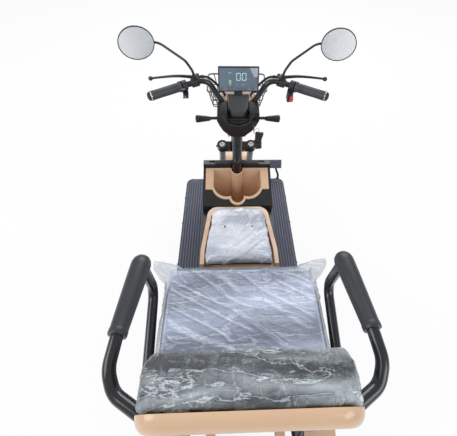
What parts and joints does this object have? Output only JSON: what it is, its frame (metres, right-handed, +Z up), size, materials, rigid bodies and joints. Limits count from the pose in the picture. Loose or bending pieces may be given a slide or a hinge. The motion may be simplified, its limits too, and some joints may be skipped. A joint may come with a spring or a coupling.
{
  "type": "electric mobility tricycle",
  "caption": "Three-wheeled electric mobility trike with a rider's seat, a child's seat over a storage tub, a front bin, a raked fork, a handlebar with mirrors and a basket.",
  "frame": {"origin": "on the ground, under the middle of the overall length and width", "axes": "+X to the rider's right, +Y forward, +Z up"},
  "size_m": [0.8515, 1.4855, 1.1477],
  "materials": {
    "beige_plastic": "glossy",
    "black_plastic": "glossy",
    "black_trim": "satin",
    "black_tube": "satin",
    "black_frame": "satin",
    "grey_plastic": "satin",
    "black_leatherette": "satin",
    "mat_rubber": "matte",
    "grip_rubber": "matte",
    "tyre_rubber": "matte",
    "cast_alloy": "satin",
    "bright_steel": "polished",
    "plain_steel": "satin",
    "mirror_glass": "polished",
    "clear_lens": "glossy",
    "clear_film": "glossy",
    "red_plastic": "glossy",
    "red_lens": "glossy",
    "amber_lens": "glossy"
  },
  "bodies": {
    "frame": {"chassis_rails": "black_frame", "chassis_crossmembers": "black_frame", "down_tube": "black_tube", "seat_frame": "black_frame", "seat_buffers": "grip_rubber", "floor_pans": "black_trim", "floor_mats": "mat_rubber", "front_bin": "beige_plastic", "front_box": "black_plastic", "tunnel": "black_plastic", "rear_axle": "plain_steel", "motor_block": "cast_alloy", "shocks": "black_frame", "battery": "grey_plastic", "seat_fairing": "black_plastic", "mudguards": "beige_plastic", "tail_panel": "beige_plastic", "tail_lamps": "red_lens"},
    "main_seat": {"seat_pan": "black_frame", "seat_cushion": "black_leatherette", "backrest_pad": "black_leatherette", "backrest_shell": "beige_plastic", "arm_tube_left": "black_tube", "arm_tube_right": "black_tube", "arm_pads": "grip_rubber"},
    "child_seat": {"child_seat_base": "beige_plastic", "child_seat_cushion": "black_leatherette"},
    "steering": {"fork_crown": "black_tube", "fork_legs": "cast_alloy", "fork_caps": "beige_plastic", "front_fender": "beige_plastic", "handlebar": "black_tube", "grip_left": "grip_rubber", "lever_clamps": "black_trim", "switches": "black_trim", "red_buttons": "red_plastic", "clamp_cover": "black_plastic", "cowl": "black_plastic", "headlight_cover": "beige_plastic", "headlight_lens": "clear_lens", "display": "black_plastic", "turn_signals": "amber_lens", "key_set": "plain_steel", "cable_looms": "black_trim", "basket": "black_tube", "steering_brackets": "black_frame"},
    "front_wheel": {"front_tyre": "tyre_rubber", "front_rim": "cast_alloy"},
    "rear_wheel_left": {"rear_tyre_left": "tyre_rubber", "rear_rim_left": "cast_alloy"},
    "rear_wheel_right": {"rear_tyre_right": "tyre_rubber", "rear_rim_right": "cast_alloy"},
    "lever_left": {"brake_lever_left": "black_tube"},
    "lever_right": {"brake_lever_right": "black_tube"},
    "throttle": {"grip_right": "grip_rubber"},
    "mirror_left": {"mirror_left": "black_plastic", "mirror_glass_left": "mirror_glass"},
    "mirror_right": {"mirror_right": "black_plastic", "mirror_glass_right": "mirror_glass"},
    "pedal": {"brake_pedal": "black_frame"}
  },
  "joints": [
    {"name": "steering", "type": "hinge", "parent": "frame", "child": "steering", "pos_m": [0, 0.38532, 0.57918], "axis": [0, -0.2756, 0.9613], "range_deg": [-35, 35]},
    {"name": "front_wheel_spin", "type": "hinge", "parent": "steering", "child": "front_wheel", "pos_m": [0, 0.5475, 0.195], "axis": [1, 0, 0], "continuous": true},
    {"name": "rear_wheel_left_spin", "type": "hinge", "parent": "frame", "child": "rear_wheel_left", "pos_m": [-0.22, -0.5075, 0.195], "axis": [1, 0, 0], "continuous": true},
    {"name": "rear_wheel_right_spin", "type": "hinge", "parent": "frame", "child": "rear_wheel_right", "pos_m": [0.22, -0.5075, 0.195], "axis": [1, 0, 0], "continuous": true},
    {"name": "main_seat_tip", "type": "hinge", "parent": "frame", "child": "main_seat", "pos_m": [0, -0.2205, 0.501], "axis": [-1, 0, 0], "range_deg": [0, 45]},
    {"name": "child_seat_lid", "type": "hinge", "parent": "frame", "child": "child_seat", "pos_m": [0, -0.1599, 0.4443], "axis": [1, 0, 0], "range_deg": [0, 60]},
    {"name": "brake_lever_left_pull", "type": "hinge", "parent": "steering", "child": "lever_left", "pos_m": [-0.161, 0.33605, 0.96869], "axis": [0, -0.2756, 0.9613], "range_deg": [0, 12], "stiffness_Nm_per_rad": 2, "springref_deg": -8.59},
    {"name": "brake_lever_right_pull", "type": "hinge", "parent": "steering", "child": "lever_right", "pos_m": [0.161, 0.33605, 0.96869], "axis": [0, 0.2756, -0.9613], "range_deg": [0, 12], "stiffness_Nm_per_rad": 2, "springref_deg": -8.59},
    {"name": "throttle_twist", "type": "hinge", "parent": "steering", "child": "throttle", "pos_m": [0.19, 0.30598, 0.95382], "axis": [0.8576, -0.5139, -0.0209], "range_deg": [0, 60], "stiffness_Nm_per_rad": 0.3, "springref_deg": -17.19},
    {"name": "mirror_left_swivel", "type": "hinge", "parent": "steering", "child": "mirror_left", "pos_m": [-0.162, 0.30046, 0.98761], "axis": [0, -0.2756, 0.9613], "range_deg": [-15, 15]},
    {"name": "mirror_right_swivel", "type": "hinge", "parent": "steering", "child": "mirror_right", "pos_m": [0.162, 0.30046, 0.98761], "axis": [0, -0.2756, 0.9613], "range_deg": [-15, 15]},
    {"name": "brake_pedal_press", "type": "hinge", "parent": "frame", "child": "pedal", "pos_m": [0.236, 0.5045, 0.228], "axis": [-1, 0, 0], "range_deg": [0, 14], "stiffness_Nm_per_rad": 6, "springref_deg": -6.88}
  ]
}
